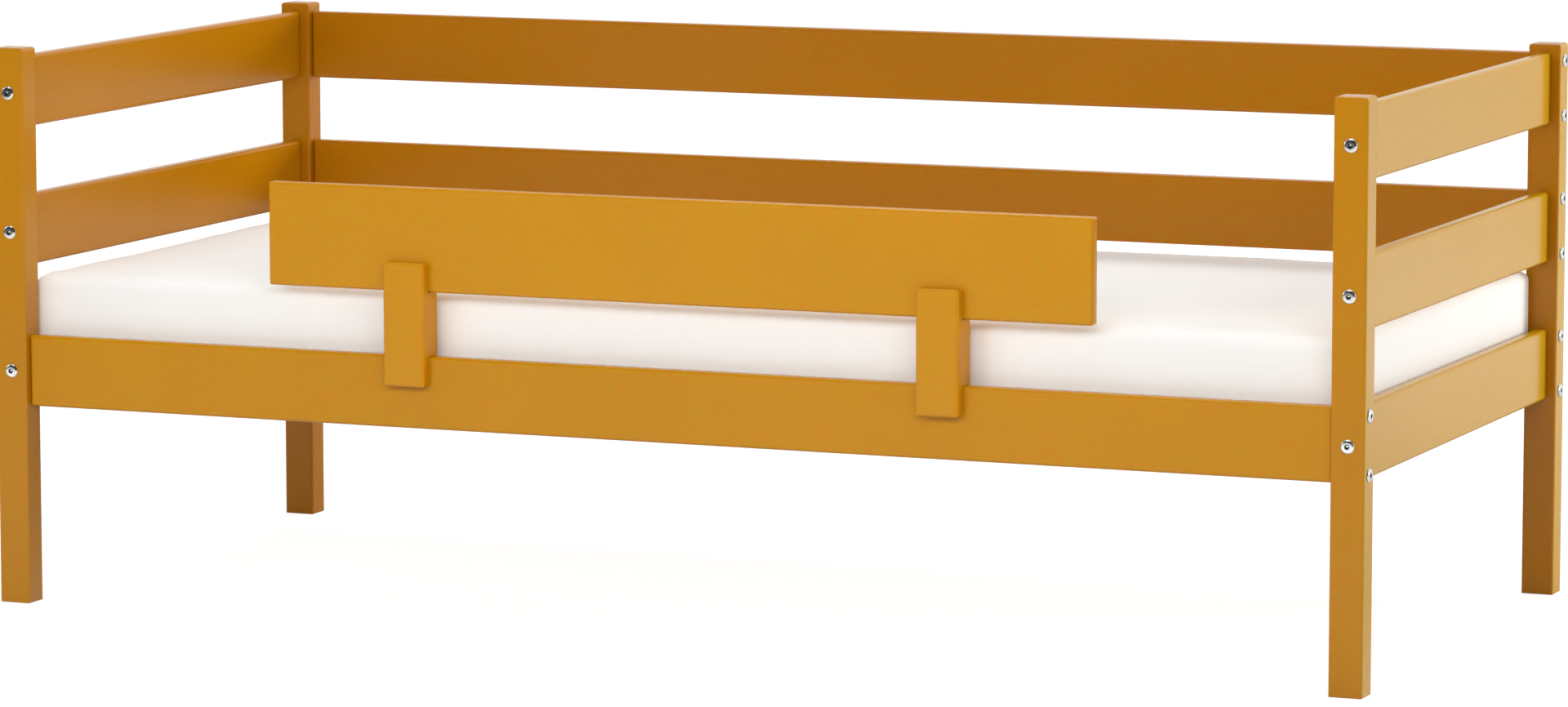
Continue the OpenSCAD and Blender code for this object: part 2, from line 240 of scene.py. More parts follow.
def make_lacquer_group(grain_group):
    """Opaque satin lacquer on planed wood. The colour is mottled in small and in large spots, the
    grain shows through as a faint relief, and the coat is thinner and smoother on edges."""
    inputs = {"Vector": (0.0, 0.0, 0.0), "Edge": 0.0, "Paint": (0.5, 0.3, 0.05, 1.0)}
    outputs = {"Color": "COLOR", "Roughness": "FLOAT", "Height": "FLOAT"}
    tree, given, out = new_group("satin lacquer", inputs, outputs)
    grain = place_group(tree, grain_group, {"Vector": given["Vector"], "Ring Width": 0.005})
    small = noise(tree, given["Vector"], SMALL_SPOT, 4.0, 0.6)
    large = noise(tree, given["Vector"], LARGE_SPOT)
    streaks = remap(tree, grain["Fibres"], 0.35, 0.7)

    warm = blend_colours(tree, 1.0, given["Paint"], srgb(255, 246, 205), "MULTIPLY")
    green = blend_colours(tree, 1.0, given["Paint"], srgb(250, 255, 225), "MULTIPLY")
    mottled = blend_colours(tree, remap(tree, small, 0.35, 0.65), warm, green)
    clouded = add(tree, "HueSaturation", {"Color": mottled,
                  "Value": remap(tree, large, 0.3, 0.7, 0.985, 1.02)}).outputs["Color"]
    grained = add(tree, "HueSaturation", {"Color": clouded,
                  "Value": remap(tree, grain["Rings"], 0.0, 1.0, 1.0, 0.985)}).outputs["Color"]
    thin = blend_colours(tree, 1.0, grained, srgb(255, 250, 235), "MULTIPLY")
    tree.links.new(blend_colours(tree, given["Edge"], grained, thin), out["Color"])

    satin = remap(tree, small, 0.2, 0.8, 0.19, 0.25)
    burnished = maths(tree, "MULTIPLY", given["Edge"], -0.02)
    tree.links.new(maths(tree, "ADD", satin, burnished), out["Roughness"])

    peel = noise(tree, given["Vector"], PEEL_SIZE, 1.0)
    height = maths(tree, "MULTIPLY", peel, 0.35)
    height = maths(tree, "MULTIPLY_ADD", grain["Rings"], -0.35, height)
    tree.links.new(maths(tree, "MULTIPLY_ADD", streaks, 0.3, height), out["Height"])
    return tree


GRAIN = make_grain_group()
EDGE = make_edge_group()
LACQUER = make_lacquer_group(GRAIN)


# ---------------------------------------------------------------------------------------------
# Finishes
# ---------------------------------------------------------------------------------------------

# One ochre with painted light and shade in its tones. The end boards on the right are painted the
# yellowest, as lit from the right, and the rear side the deepest, as shaded.
OCHRE_LIT_AND_SHADED = {
    "guard": srgb(200, 139, 17), "rail": srgb(195, 134, 8), "front post": srgb(189, 127, 9),
    "right end": srgb(192, 144, 6), "left end": srgb(185, 121, 4), "rear": srgb(178, 113, 4),
    "block side": srgb(217, 148, 14),
}
TONE_STARTS = {"guard": "guard", "rail_front": "rail", "post_front": "front post",
               "right": "right end", "left": "left end"}
ALONG_X = (0.0, 0.0, 0.0)
ALONG_Y = (0.0, 0.0, math.pi / 2)
UPRIGHT = (0.0, math.pi / 2, 0.0)
GRAIN_START = np.array((0.0, 0.0, 0.09))
GRAIN_STEP = np.array((0.37, 0.11, 0.05))
BARE_GRAIN_START = (0.0, 0.0, 0.13)
PAINT_EDGE = 0.0045
PAINT_RELIEF = 0.00006
PAINT_IOR = 1.36
PAINT_SHINE = 0.5
BLOCK_SIDE_SHINE = 0.2
WOOD_RELIEF = 0.00003


def rightward(tree):
    """1 where a surface faces right, along X, and 0 where it faces elsewhere."""
    normal = add(tree, "TexCoord").outputs["Normal"]
    return remap(tree, split_vector(tree, normal)["X"], 0.5, 0.8)


def paint_piece(node, turn, number):
    """Ochre lacquer on one piece: turn carries the grain along it, and number gives the piece its
    own stretch of grain."""
    side = next((name for start, name in TONE_STARTS.items() if node.startswith(start)), "rear")
    # Each place has its own tone, with painted light and shade in it.
    tone = OCHRE_LIT_AND_SHADED[side]
    low, high = (np.array(corner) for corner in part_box(node))
    material, tree, shader = new_material("ochre lacquer " + node.replace("_", " "))
    box = {"Vector": object_place(tree), "Centre": tuple((low + high) / 2),
           "Half Size": tuple((high - low) / 2), "Width": PAINT_EDGE}
    edge = place_group(tree, EDGE, box)["Edge"]
    along = place_along(tree, tuple(GRAIN_START + number * GRAIN_STEP), turn)
    if node in ("post_front_right", "post_rear_right"):
        # Painted light: these posts' outer sides, which face right, are painted in the end boards'
        # lighter tone, as lit from the right.
        tone = blend_colours(tree, rightward(tree), tone, OCHRE_LIT_AND_SHADED["right end"])
    elif node.startswith("guard_block"):
        # Painted light: the blocks' right sides are painted lighter, and their coat is duller.
        on_side = rightward(tree)
        tone = blend_colours(tree, on_side, tone, OCHRE_LIT_AND_SHADED["block side"])
        shine = remap(tree, on_side, 0.0, 1.0, PAINT_SHINE, BLOCK_SIDE_SHINE)
        feed(tree, shader, Specular_IOR_Level=shine)
    coat = place_group(tree, LACQUER, {"Vector": along, "Edge": edge, "Paint": tone})
    feed(tree, shader, Base_Color=coat["Color"], Roughness=coat["Roughness"],
         Normal=relief(tree, coat["Height"], PAINT_RELIEF))
    shader.inputs["IOR"].default_value = PAINT_IOR
    set_material(node, material)


def set_material(node, material):
    """Gives a CAD node one material all over."""
    slots = NODES[node].data.materials
    slots.clear()
    slots.append(material)


def paint_everything():
    """Lacquer on every board, post and block, with its grain along it."""
    long_boards = ["rail_front", "rail_rear", "back_board_middle", "back_board_upper",
                   "guard_board"]
    end_boards = [f"{end}_end_{level}"
                  for end in ("left", "right") for level in ("lower", "middle", "upper")]
    posts = [f"post_{side}_{end}" for side in ("front", "rear") for end in ("left", "right")]
    blocks = ["guard_block_left", "guard_block_right"]
    turns = {**dict.fromkeys(long_boards, ALONG_X), **dict.fromkeys(end_boards, ALONG_Y),
             **dict.fromkeys(posts + blocks, UPRIGHT)}
    for number, (node, turn) in enumerate(turns.items()):
        paint_piece(node, turn, number)


def make_bare_wood(name, turn, tone):
    """Planed softwood with dark rings, fine fibres and a slow change of tone along the grain."""
    material, tree, shader = new_material(name)
    place = place_along(tree, BARE_GRAIN_START, turn)
    grain = place_group(tree, GRAIN, {"Vector": place, "Ring Width": 0.0042, "Wander": 0.03})
    early = blend_colours(tree, grain["Tone"], srgb(*tone), srgb(226, 190, 140))
    late = blend_colours(tree, 1.0, early, srgb(214, 168, 116), "MULTIPLY")
    ringed = blend_colours(tree, maths(tree, "MULTIPLY", grain["Rings"], 0.75), early, late)
    fibred = add(tree, "HueSaturation", {"Color": ringed,
                 "Value": remap(tree, grain["Fibres"], 0.3, 0.7, 0.94, 1.04)}).outputs["Color"]
    fibres = maths(tree, "MULTIPLY", grain["Fibres"], 0.6)
    height = maths(tree, "MULTIPLY_ADD", grain["Rings"], -0.5, fibres)
    feed(tree, shader, Base_Color=fibred, Normal=relief(tree, height, WOOD_RELIEF),
         Roughness=remap(tree, grain["Rings"], 0.0, 1.0, 0.66, 0.5))
    return material


ZINC_SPOT, ZINC_SMEAR, ZINC_GRAIN = 0.004, 0.0012, 0.0006
ZINC_RELIEF = 0.00001


def make_zinc():
    """Bright zinc plate: faint bluish and yellowish spots, and a roughness broken by handling.
    Where a piece's shade attribute is 1 it is painted dark and dull, as painted shade."""
    material, tree, shader = new_material("bright zinc")
    place = object_place(tree)
    painted_shade = add(tree, "Attribute", attribute_name="PaintedShade").outputs["Fac"]
    spots = noise(tree, place, ZINC_SPOT, 3.0)
    plate = blend_colours(tree, spots, srgb(214, 222, 232), srgb(232, 228, 216))
    smooth = remap(tree, noise(tree, place, ZINC_SMEAR, 2.0), 0.3, 0.7, 0.08, 0.16)
    feed(tree, shader, Base_Color=blend_colours(tree, painted_shade, plate, srgb(44, 40, 36)),
         Roughness=maths(tree, "MULTIPLY_ADD", painted_shade, 0.3, smooth),
         Normal=relief(tree, noise(tree, place, ZINC_GRAIN), ZINC_RELIEF))
    shader.inputs["Metallic"].default_value = 1.0
    return material


WEAVE_PITCH = 0.0016
WEAVE_RELIEF = 0.0002


def make_webbing():
    """Plain-woven tape: threads along X and Y pass over and under one another."""
    material, tree, shader = new_material("woven tape")
    place = object_place(tree)
    parts = split_vector(tree, place)
    turn = 2 * math.pi / WEAVE_PITCH
    warp = maths(tree, "SINE", maths(tree, "MULTIPLY", parts[0], turn))
    weft = maths(tree, "SINE", maths(tree, "MULTIPLY", parts[1], turn))
    weave = maths(tree, "MULTIPLY_ADD", maths(tree, "MULTIPLY", warp, weft), 0.5, 0.5)
    fuzz = noise(tree, place, WEAVE_PITCH / 2, 3.0)
    raised = maths(tree, "MULTIPLY", weave, fuzz)
    colour = blend_colours(tree, raised, srgb(196, 188, 170), srgb(240, 235, 222))
    feed(tree, shader, Base_Color=colour, Normal=relief(tree, weave, WEAVE_RELIEF))
    shader.inputs["Roughness"].default_value = 0.85
    return material


def finish_hidden_and_bare_pieces(zinc):
    """Bare wood on the slats, ledges and dowels, zinc on the steel, and tape on the ribbons."""
    slat_wood = make_bare_wood("slat wood", ALONG_Y, (233, 203, 158))
    ledge_wood = make_bare_wood("ledge wood", ALONG_X, (229, 196, 150))
    webbing = make_webbing()
    for node in NODES:
        if node.startswith("slat_") and node != "slat_screws" or node == "end_board_dowels":
            set_material(node, slat_wood)
        elif node in ("ledge_front", "ledge_rear"):
            set_material(node, ledge_wood)
        elif node.endswith(("_bolts", "_inserts", "_screws")):
            set_material(node, zinc)
        elif node.startswith("ribbon_"):
            set_material(node, webbing)


ZINC = make_zinc()
paint_everything()
finish_hidden_and_bare_pieces(ZINC)


# ---------------------------------------------------------------------------------------------
# Building meshes
# ---------------------------------------------------------------------------------------------

def new_piece(name, points, faces, material):
    """A smooth-shaded object at the origin whose mesh has these points and faces, in metres."""
    data = bpy.data.meshes.new(name)
    data.from_pydata(np.asarray(points).tolist(), [], np.asarray(faces).tolist())
    data.polygons.foreach_set("use_smooth", np.ones(len(data.polygons), bool))
    data.materials.append(material)
    piece = bpy.data.objects.new(name, data)
    SCENE.collection.objects.link(piece)
    return piece


def read_points(data):
    """The places of a mesh's points, as one row each."""
    flat = np.empty(len(data.vertices) * 3)
    data.vertices.foreach_get("co", flat)
    return flat.reshape(-1, 3)


def write_points(data, points):
    """Moves a mesh's points to these places."""
    data.vertices.foreach_set("co", np.asarray(points).ravel())
    data.update()


def strip_quads(numbers):
    """The quads between neighbouring rows and columns of a table of point numbers."""
    corners = (numbers[:-1, :-1], numbers[1:, :-1], numbers[1:, 1:], numbers[:-1, 1:])
    return np.stack(corners, -1).reshape(-1, 4)


def box_surface(cuts_x, cuts_y, cuts_z):
    """The outer skin of a box, cut into quads by planes at these places along each axis."""
    shape = (len(cuts_x), len(cuts_y), len(cuts_z))
    skin = np.ones(shape, bool)
    skin[1:-1, 1:-1, 1:-1] = False
    numbers = np.full(shape, -1)
    numbers[skin] = np.arange(skin.sum())
    points = np.stack(np.meshgrid(cuts_x, cuts_y, cuts_z, indexing="ij"), -1)[skin]
    outwards = [strip_quads(side) for side in (numbers[-1], numbers[:, 0], numbers[:, :, -1])]
    inwards = [strip_quads(side) for side in (numbers[0], numbers[:, -1], numbers[:, :, 0])]
    return points, np.concatenate(outwards + [quads[:, ::-1] for quads in inwards])


def joined_up(numbers):
    """A table of point numbers whose last column is its first one again."""
    return np.concatenate([numbers, numbers[:, :1]], 1)


def tube(path, radius, sides):
    """A round wire along a path in the XZ plane, open at both ends, as points and quads."""
    path = np.asarray(path, float)
    along = np.gradient(path, axis=0)
    along /= np.linalg.norm(along, axis=1, keepdims=True)
    across = np.stack([-along[:, 2], np.zeros(len(path)), along[:, 0]], -1)
    angle = np.arange(sides) * 2 * math.pi / sides
    sideways = np.array([0.0, 1.0, 0.0])
    rings = (path[:, None] + radius * np.cos(angle)[None, :, None] * across[:, None]
             + radius * np.sin(angle)[None, :, None] * sideways)
    numbers = np.arange(len(path) * sides).reshape(len(path), sides)
    return rings.reshape(-1, 3), strip_quads(joined_up(numbers))


def repeated(points, faces, frames):
    """Copies of one shape. Each frame is a place and three axes, as a 4 by 3 array."""
    frames = np.asarray(frames, float)
    copies = frames[:, None, 0] + np.einsum("pa,fab->fpb", points, frames[:, 1:])
    shifts = np.arange(len(frames))[:, None, None] * len(points)
    return copies.reshape(-1, 3), (faces[None] + shifts).reshape(-1, faces.shape[1])


# ---------------------------------------------------------------------------------------------
# Mattress
# ---------------------------------------------------------------------------------------------

SEAM_RISE = 0.033
SEAM_GROOVE = 0.0034
SEAM_CUT = 0.0028
SEAM_FOLD = 0.0022
STITCH_ROW = 0.0052
STITCH_EDGE = (0.0003, 0.0011)
STITCH_PITCH = 0.0042
COLUMN_PITCH = 0.0016
LOOP_PITCH = 0.0021
CLOUD_SIZE = 0.15
SLUB_SIZE = 0.0035
SLUB_STRETCH = (0.25, 1.0, 1.0)
CLOTH_RELIEF = 0.0002
# A surface faces along an axis where that part of its normal is larger than this.
FACING = 0.72
PAD_EDGE = 0.012
PAD_GRID = 0.0132
PAD_GRID_UPRIGHT = 0.0110
PAD_LOW_SHIFT = np.array((-0.0075, -0.0015, 0.0003))
PAD_HIGH_SHIFT = np.array((0.0075, 0.0015, -0.0026))
PAD_WAVE = 0.0006
PAD_WAVE_DEPTH = 0.03
PAD_CLEARANCE = 0.0002
PAD_PRESSURE = 4.0
PAD_SWELL = 0.0032
SWELL_FRAMES = 20


def make_cover_cloth(seam_height):
    """Off-white knitted cover: fine columns of loops, a soft change of tone, a few slubs, and two
    rows of stitches beside the seam that runs round the sides, whose crease is painted darker as
    painted shade."""
    material, tree, shader = new_material("knitted cover")
    coordinates = add(tree, "TexCoord").outputs
    place = coordinates["Object"]
    parts = split_vector(tree, place)
    facing = split_vector(tree, vector_maths(tree, "ABSOLUTE", coordinates["Normal"]))
    on_end = maths(tree, "GREATER_THAN", facing[0], FACING)
    on_top = maths(tree, "GREATER_THAN", facing[2], FACING)
    across = blend_numbers(tree, on_end, parts[0], parts[1])
    along = blend_numbers(tree, on_top, parts[2], parts[1])

    across_turns = maths(tree, "MULTIPLY", across, math.pi / COLUMN_PITCH)
    column = maths(tree, "ABSOLUTE", maths(tree, "SINE", across_turns))
    along_turns = maths(tree, "MULTIPLY", along, 2 * math.pi / LOOP_PITCH)
    slant = maths(tree, "MULTIPLY_ADD", column, 1.2, along_turns)
    loops = maths(tree, "MULTIPLY_ADD", maths(tree, "SINE", slant), 0.5, 0.5)
    depth = maths(tree, "MULTIPLY_ADD", loops, 0.4, 0.6)
    knit = maths(tree, "MULTIPLY", maths(tree, "POWER", column, 0.6), depth)

    from_seam = maths(tree, "ABSOLUTE", maths(tree, "SUBTRACT", parts[2], seam_height))
    beside = maths(tree, "ABSOLUTE", maths(tree, "SUBTRACT", from_seam, STITCH_ROW))
    thread = maths(tree, "SINE", maths(tree, "MULTIPLY", across, 2 * math.pi / STITCH_PITCH))
    row = remap(tree, beside, *STITCH_EDGE, 1.0, 0.0)
    upright = maths(tree, "SUBTRACT", 1.0, on_top)
    dashes = maths(tree, "MULTIPLY", row, remap(tree, thread, -0.6, 0.1))
    stitches = maths(tree, "MULTIPLY", dashes, upright)
    # Painted shade: the cover is painted darker in the crease along the seam.
    seam_shade = maths(tree, "MULTIPLY", remap(tree, from_seam, 0.0, SEAM_FOLD, 1.0, 0.0), upright)

    cloud = noise(tree, place, CLOUD_SIZE, 3.0)
    stretched = vector_maths(tree, "MULTIPLY", place, SLUB_STRETCH)
    slubs = remap(tree, noise(tree, stretched, SLUB_SIZE), 0.62, 0.78)
    raised = maths(tree, "MULTIPLY_ADD", knit, 0.5, 0.5)
    colour = blend_colours(tree, cloud, srgb(244, 243, 240), srgb(248, 247, 245))
    colour = blend_colours(tree, raised, srgb(236, 234, 230), colour)
    colour = blend_colours(tree, maths(tree, "MULTIPLY", slubs, 0.25), colour, srgb(252, 249, 244))
    colour = blend_colours(tree, maths(tree, "MULTIPLY", seam_shade, 0.6), colour, srgb(206, 198, 187))
    colour = blend_colours(tree, stitches, colour, srgb(250, 247, 241))

    height = maths(tree, "MULTIPLY_ADD", knit, 0.3, maths(tree, "MULTIPLY", slubs, 0.1))
    height = maths(tree, "MULTIPLY_ADD", stitches, 1.0, height)
    feed(tree, shader, Base_Color=colour, Normal=relief(tree, height, CLOTH_RELIEF),
         Roughness=remap(tree, knit, 0.0, 1.0, 0.95, 0.85))
    shader.inputs["Sheen Weight"].default_value = 0.12
    shader.inputs["Sheen Roughness"].default_value = 0.5
    shader.inputs["Specular IOR Level"].default_value = 0.2
    return material


def pad_cuts(low, high, step, seams=()):
    """Cuts across a pad: even ones in each rounded edge, about one every step between, and three
    close together at each seam."""
    in_edge = 4
    low_side = np.linspace(low, low + PAD_EDGE, in_edge + 1)
    high_side = np.linspace(high - PAD_EDGE, high, in_edge + 1)
    count = max(round((high_side[0] - low_side[-1]) / step), 1)
    middle = np.linspace(low_side[-1], high_side[0], count + 1)[1:-1]
    for seam in seams:
        middle = middle[np.abs(middle - seam) > 0.6 * step]
    at_seams = [seam + shift for seam in seams for shift in (-SEAM_CUT, 0.0, SEAM_CUT)]
    return np.sort(np.concatenate([low_side, middle, at_seams, high_side]))


def soften_box(points, low, high, edge):
    """Moves points on a box's skin onto the same box with soft edges. A point's overhang past the
    inner box, as a share of edge, is brought to length 1. In plan the length is the eighth root of
    the sum of eighth powers, which keeps the upright corners tight, and with the height it is the
    square root of the sum of squares, which rounds the top and bottom edges."""
    centre = (low + high) / 2
    inner = (high - low) / 2 - edge
    offset = points - centre
    size = np.abs(offset)
    over = np.maximum(size - inner, 0.0) / edge
    plan = (over[:, 0] ** 8 + over[:, 1] ** 8) ** (1 / 8)
    length = np.maximum(np.hypot(plan, over[:, 2]), 1e-9)[:, None]
    return centre + np.sign(offset) * (np.minimum(size, inner) + edge * over / length)


def as_modified(piece):
    """The piece as its modifiers leave it."""
    return piece.evaluated_get(bpy.context.evaluated_depsgraph_get())


def inflate(piece, pressure, cap):
    """Blows a closed skin up as cloth, from frame 1 to SWELL_FRAMES and without gravity, and reads
    where its points went. The foam inside holds the skin, so no point moves inwards and a move
    outwards fades out towards cap."""
    start = read_points(piece.data)
    cloth = piece.modifiers.new("cloth", "CLOTH")
    settings = cloth.settings
    settings.quality = 6
    settings.mass = 0.3
    settings.tension_stiffness = settings.compression_stiffness = 25.0
    settings.shear_stiffness = 12.0
    settings.bending_stiffness = 3.0
    settings.air_damping = 2.0
    settings.use_pressure = True
    settings.uniform_pressure_force = pressure
    settings.effector_weights.gravity = 0.0
    cloth.point_cache.frame_start = 1
    cloth.point_cache.frame_end = SWELL_FRAMES
    for frame_number in range(1, SWELL_FRAMES + 1):
        SCENE.frame_set(frame_number)
    moved = read_points(as_modified(piece).data)
    piece.modifiers.remove(cloth)
    SCENE.frame_set(1)
    outward = np.empty(start.size)
    piece.data.vertices.foreach_get("normal", outward)
    outward = outward.reshape(-1, 3)
    swell = np.maximum(((moved - start) * outward).sum(1, keepdims=True), 0.0)
    write_points(piece.data, start + outward * cap * np.tanh(swell / cap))


def subdivide(piece):
    """One level of subdivision surface, applied."""
    modifier = piece.modifiers.new("smooth", "SUBSURF")
    modifier.levels = 1
    smooth = bpy.data.meshes.new_from_object(as_modified(piece))
    piece.modifiers.remove(modifier)
    smooth.name = piece.name
    piece.data = smooth


def make_mattress():
    """The foam mattress in its knitted cover. It starts a little lower than its space and a little
    longer, to near the end boards. It swells under pressure and lies flat on the slats, and a seam
    runs round its sides near its underside."""
    low, high = (np.array(corner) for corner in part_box("mattress"))
    floor_height = low[2]
    seam_height = floor_height + SEAM_RISE
    start_low = low + PAD_LOW_SHIFT
    start_high = high + PAD_HIGH_SHIFT
    points, faces = box_surface(
        pad_cuts(start_low[0], start_high[0], PAD_GRID),
        pad_cuts(start_low[1], start_high[1], PAD_GRID),
        pad_cuts(start_low[2], start_high[2], PAD_GRID_UPRIGHT, (seam_height,)))
    points = soften_box(points, start_low, start_high, PAD_EDGE)
    cover = new_piece("mattress_cover", points, faces, make_cover_cloth(seam_height))
    inflate(cover, PAD_PRESSURE, PAD_SWELL)

    places = read_points(cover.data)
    # The top is not quite even. Long waves lower it by up to 1.6 mm and raise it by up to 0.4 mm,
    # and they fade out down the sides.
    top = np.clip((places[:, 2] - start_high[2] + PAD_WAVE_DEPTH) / PAD_WAVE_DEPTH, 0.0, 1.0)
    waves = (np.sin(places[:, 0] * 7.3 + 0.8) * np.sin(places[:, 1] * 9.1 + 0.4)
             + 0.6 * np.sin(places[:, 0] * 15.7 + places[:, 1] * 6.1))
    places[:, 2] += PAD_WAVE * top * (waves - 1.0)
    # The seam pulls the sides in along its middle line.
    on_seam = np.abs(points[:, 2] - seam_height) < 0.0005
    inner = (start_high - start_low)[:2] / 2 - PAD_EDGE
    outward = np.sign(places[:, :2]) * (np.abs(places[:, :2]) > inner)
    places[on_seam, :2] -= SEAM_GROOVE * outward[on_seam]
    places[:, 2] = np.maximum(places[:, 2], floor_height + PAD_CLEARANCE)
    write_points(cover.data, places)
    subdivide(cover)

    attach(cover, "mattress")
    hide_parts("mattress")


make_mattress()


# ---------------------------------------------------------------------------------------------
# Small fasteners
# ---------------------------------------------------------------------------------------------

SCREW_LENGTH, SCREW_SHANK, SCREW_HEAD = 0.030, 0.0035, 0.007
THREAD_PITCH = 0.0018
BOLT_SHANK, BOLT_HEAD, BOLT_HEAD_HEIGHT, BOLT_SOCKET = 0.006, 0.016, 0.0022, 0.004
BOLT_SIDES = 48
STAPLE_LEG, STAPLE_HALF, STAPLE_BEND, STAPLE_WIRE = 0.005, 0.0046, 0.0005, 0.00042
STAPLE_SPREAD, STAPLE_SINK = 0.014, 0.0002
STAPLE_ASTRAY, STAPLE_SLANT = 0.0012, 0.10
FASTENER_TWIST = 1.7


def cross_outline(angle, half_width, reach):
    """The distance from its middle to the outline of a cross with four square-ended arms."""
    turned = np.abs((angle + math.pi / 4) % (math.pi / 2) - math.pi / 4)
    on_arm = turned <= math.atan2(half_width, reach)
    return np.where(on_arm, reach / np.cos(turned), half_width / np.maximum(np.sin(turned), 1e-6))


def turned_skin(angle, rings):
    """The points and quads of a shape round Z. Each ring is its distances from Z at these angles,
    and its height."""
    rows = [np.stack([radius * np.cos(angle), radius * np.sin(angle),
                      np.full(len(angle), height)], -1) for radius, height in rings]
    numbers = np.arange(len(rings) * len(angle)).reshape(len(rings), len(angle))
    return np.concatenate(rows), strip_quads(joined_up(numbers))[:, ::-1]


def wood_screw_shape(length, shank, head):
    """A countersunk screw with a cross recess: its face is at Z = 0 and its point at Z = length.
    Each ring of points has the same angles. The thread is a ridge on the shank whose height is a
    triangle wave of the turns made so far, which are the depth over the pitch plus the angle."""
    arm_half_width, arm_reach, recess_depth = 0.00055, 0.0021, 0.0019
    corner = math.atan2(arm_half_width, arm_reach)
    quarter = np.array([-corner, -corner / 2, 0.0, corner / 2, corner,
                        0.45, math.pi / 4, math.pi / 2 - 0.45])
    angle = np.concatenate([quarter + turn * math.pi / 2 for turn in range(4)])
    round_ring = np.ones(len(angle))
    outline = cross_outline(angle, arm_half_width, arm_reach)
    cone = (head - shank) / 2
    rings = [(round_ring * 1e-5, recess_depth), (outline * 0.35, 0.0016),
             (outline, 0.00008), (outline * 1.04, 0.0),
             (round_ring * (head / 2 - 0.0002), 0.0), (round_ring * head / 2, 0.00015),
             (round_ring * (shank / 2 + 0.0003), cone),
             (round_ring * shank / 2 * 0.86, cone + 0.0006)]
    thread_start, thread_end = 0.010, length - 0.0002
    run_in, tip_length = 0.002, 0.0045
    for depth in np.arange(thread_start, thread_end, THREAD_PITCH / 8):
        turns = (depth / THREAD_PITCH + angle / (2 * math.pi)) % 1.0
        ridge = np.clip(1.0 - np.abs(turns - 0.5) / 0.22, 0.0, 1.0)
        fade = min((depth - thread_start) / run_in, 1.0)
        taper = np.clip((length - depth) / tip_length, 0.03, 1.0)
        rings.append((shank / 2 * taper * (0.72 + 0.14 * (1 - fade) + 0.27 * fade * ridge), depth))
    rings.append((round_ring * 1e-5, length))
    return turned_skin(angle, rings)


def solid_boxes(node):
    """The boxes round the separate solids of a CAD node, as rows of low and high corners. Points in
    one place are one corner, and corners that share a face belong together, so each corner takes
    the lowest number among its neighbours until nothing changes."""
    data = NODES[node].data
    places, corners = np.unique(read_points(data).round(6), axis=0, return_inverse=True)
    edges = np.empty(len(data.edges) * 2, np.int32)
    data.edges.foreach_get("vertices", edges)
    edges = corners.reshape(-1)[edges].reshape(-1, 2)
    label = np.arange(len(places))
    while True:
        lowest = np.minimum(label[edges[:, 0]], label[edges[:, 1]])
        new = label.copy()
        np.minimum.at(new, edges[:, 0], lowest)
        np.minimum.at(new, edges[:, 1], lowest)
        new = new[new]
        if (new == label).all():
            break
        label = new
    solids = [places[label == one] for one in np.unique(label)]
    return [(solid.min(0), solid.max(0)) for solid in solids]


def hexagon_outline(angle, width):
    """The distance from its middle to the outline of a hexagon that is width across its flats."""
    turned = (angle + math.pi / 6) % (math.pi / 3) - math.pi / 6
    return width / 2 / np.cos(turned)


def frame_bolt_shape(length):
    """A bolt with a flat bevelled head and a hexagon socket that widens towards its mouth. Its face
    is at Z = 0 and its tip at Z = length. Returns its points, its faces and each point's share of
    painted shade, which darkens the socket and the foot of the head, where shade falls."""
    angle = np.arange(BOLT_SIDES) * 2 * math.pi / BOLT_SIDES
    disc = np.ones(len(angle))
    socket = hexagon_outline(angle, BOLT_SOCKET)
    head, shank = disc * BOLT_HEAD / 2, disc * BOLT_SHANK / 2
    # Each row is a radius, a depth and a share of painted shade, which is dark in the socket and
    # along the foot of the head.
    rows = [(disc * 1e-5, 0.00195, 0.0), (socket * 0.72, 0.0017, 0.1),
            (socket * 0.80, 0.0017, 1.0), (socket, 0.0016, 1.0), (socket, 0.0007, 1.0),
            (disc * 0.0027, 0.0001, 1.0), (disc * 0.0029, 0.0, 0.6), (disc * 0.00305, 0.0, 0.0),
            (disc * 0.0061, 0.0, 0.0), (disc * 0.00627, 0.00003, 0.0),
            (disc * 0.0064, 0.00012, 0.0), (disc * 0.00785, 0.00148, 0.0),
            (head, 0.0017, 0.5), (head, 0.0020, 1.0), (disc * 0.0078, BOLT_HEAD_HEIGHT, 1.0),
            (shank, BOLT_HEAD_HEIGHT, 0.0), (shank, length - 0.0008, 0.0),
            (disc * 0.0024, length, 0.0), (disc * 1e-5, length, 0.0)]
    points, faces = turned_skin(angle, [(radius, depth) for radius, depth, _ in rows])
    return points, faces, np.repeat([painted_shade for _, _, painted_shade in rows], len(angle))


def fastener_frames(node, way_at):
    """Where each fastener of a CAD node has the middle of its face, and its three axes. way_at
    gives the way that it points, from the place of its middle."""
    frames = []
    for low, high in solid_boxes(node):
        centre = (low + high) / 2
        way = np.array(way_at(centre))
        side = np.array([0.0, 0.0, 1.0] if way[0] else [1.0, 0.0, 0.0])
        twist = FASTENER_TWIST * len(frames)
        first = math.cos(twist) * side + math.sin(twist) * np.cross(way, side)
        half = abs((high - low) @ way) / 2
        frames.append([centre - way * half, first, np.cross(way, first), way])
    return frames


def replace_fasteners(node, points, faces, frames, material):
    """A piece of copies of one shape, which takes the place of a CAD node of plain ones."""
    piece = new_piece(node + "_detailed", *repeated(points, faces, frames), material)
    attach(piece, "root")
    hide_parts(node)
    return piece


def outward_y(centre):
    """The way along Y from the bed's middle to a place."""
    return (0.0, math.copysign(1.0, centre[1]), 0.0)


def inward_y(centre):
    """The way along Y from a place to the bed's middle."""
    return (0.0, -math.copysign(1.0, centre[1]), 0.0)


def inward_x(centre):
    """The way along X from a place to the bed's middle."""
    return (-math.copysign(1.0, centre[0]), 0.0, 0.0)


def downward(centre):
    """Down, from any place."""
    return (0.0, 0.0, -1.0)


